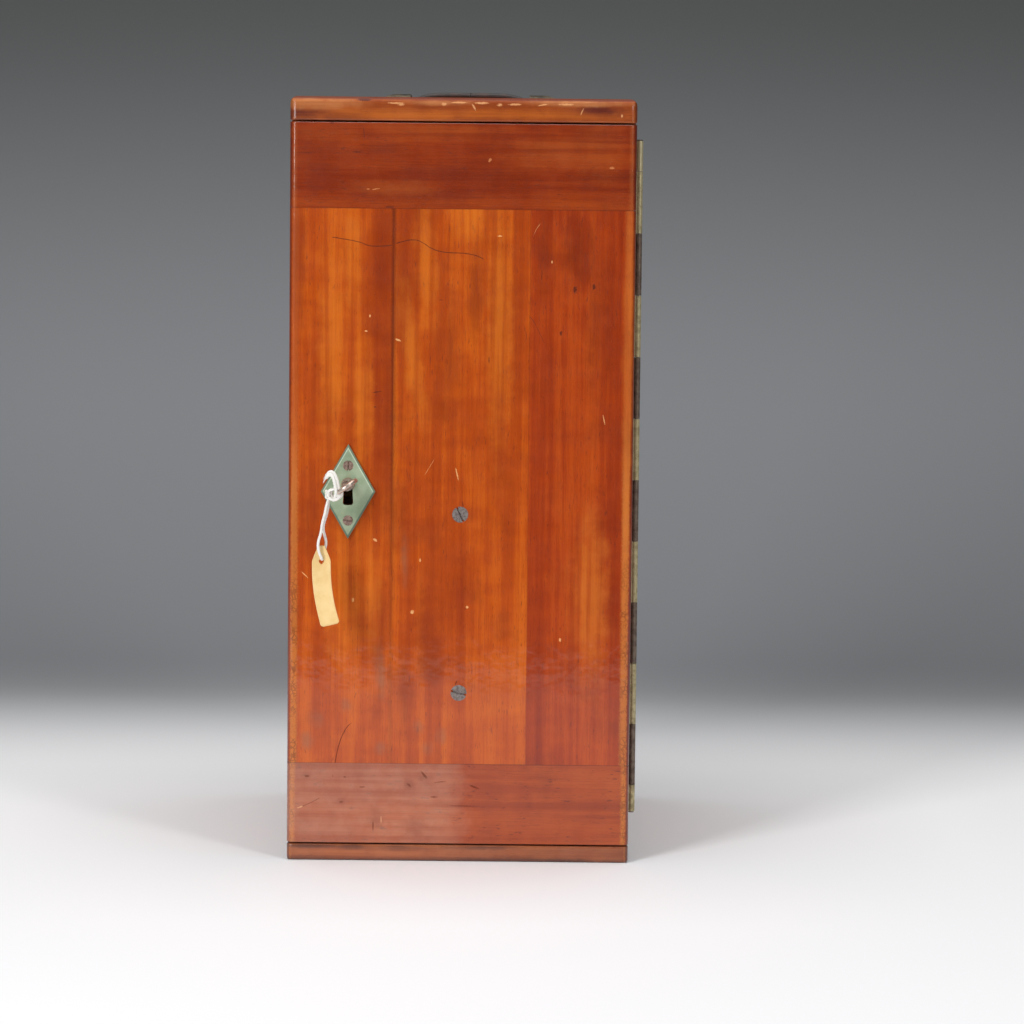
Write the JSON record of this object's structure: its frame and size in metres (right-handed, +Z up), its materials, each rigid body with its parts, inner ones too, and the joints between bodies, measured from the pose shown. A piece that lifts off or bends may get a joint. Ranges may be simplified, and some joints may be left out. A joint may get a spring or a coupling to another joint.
{
  "type": "microscope case",
  "caption": "Tall upright wooden instrument case with a side-hung door on a full-length hinge, a box lock with a key and paper tag, a strap handle, and an inner rack and foot rails.",
  "frame": {"origin": "centre of the underside of the base board, on the table", "axes": "+Z up, -Y to the front where the door is, +X towards the hinge"},
  "size_m": [0.1683, 0.2265, 0.3745],
  "materials": {
    "varnished_wood": "gloss",
    "dark_varnished_wood": "gloss",
    "bare_wood": "matte",
    "hinge_brass": "worn",
    "aged_brass": "tarnished",
    "verdigris_brass": "tarnished",
    "lock_brass": "satin",
    "screw_steel": "worn",
    "key_steel": "polished",
    "strap_leather": "worn",
    "cotton": "matte",
    "tag_paper": "matte"
  },
  "bodies": {
    "case": {"base_board": "varnished_wood", "top_board": "varnished_wood", "left_side": "varnished_wood", "right_side": "varnished_wood", "back_panel": "varnished_wood", "back_screws": "lock_brass", "foot_rail_left": "bare_wood", "foot_rail_right": "bare_wood", "foot_stop": "bare_wood", "case_hinge_leaf": "hinge_brass", "hinge_pin": "screw_steel", "case_hinge_screws": "screw_steel", "strike_plate": "lock_brass", "strike_screws": "screw_steel", "handle_cap_left": "aged_brass", "handle_cap_right": "aged_brass", "handle_cap_screws": "aged_brass"},
    "strap": {"handle_strap": "strap_leather"},
    "door": {"door_board_left": "varnished_wood", "door_board_middle": "varnished_wood", "door_board_right": "varnished_wood", "door_top_clamp": "dark_varnished_wood", "door_bottom_clamp": "dark_varnished_wood", "door_hinge_leaf": "hinge_brass", "door_hinge_screws": "screw_steel", "escutcheon": "verdigris_brass", "escutcheon_screws": "screw_steel", "lock_case": "lock_brass", "lock_cap": "lock_brass", "lock_spring": "screw_steel", "lock_screws": "screw_steel", "key_post": "screw_steel", "rack_batten": "bare_wood", "rack_screws": "screw_steel", "eyepiece_shelf": "bare_wood", "objective_shelf": "bare_wood"},
    "bolt": {"lock_bolt": "screw_steel"},
    "key": {"key": "key_steel"},
    "tag": {"string_knot": "cotton", "tag_string": "cotton", "tag": "tag_paper"}
  },
  "joints": [
    {"name": "door_swing", "type": "hinge", "parent": "case", "child": "door", "pos_m": [0.0842, -0.0887, 0.1855], "axis": [0, 0, 1], "range_deg": [0, 190]},
    {"name": "key_turn", "type": "hinge", "parent": "door", "child": "key", "pos_m": [-0.0537, -0.1, 0.182], "axis": [0, -1, 0], "range_deg": [0, 110]},
    {"name": "bolt_slide", "type": "slide", "parent": "door", "child": "bolt", "axis": [-1, 0, 0], "range_m": [0, 0.01065]},
    {"name": "tag_hang", "type": "hinge", "parent": "key", "child": "tag", "pos_m": [-0.05812, -0.12, 0.1789], "axis": [0, -1, 0], "range_deg": [-110, 0]},
    {"name": "strap_lift", "type": "slide", "parent": "case", "child": "strap", "axis": [0, 0, 1], "range_m": [0, 0.012], "deforming": ["handle_strap"]}
  ],
  "couplings": [
    {"joint": "key_turn", "follows": "bolt_slide", "rad_per_m": 180.29},
    {"joint": "tag_hang", "follows": "bolt_slide", "rad_per_m": -180.29}
  ]
}
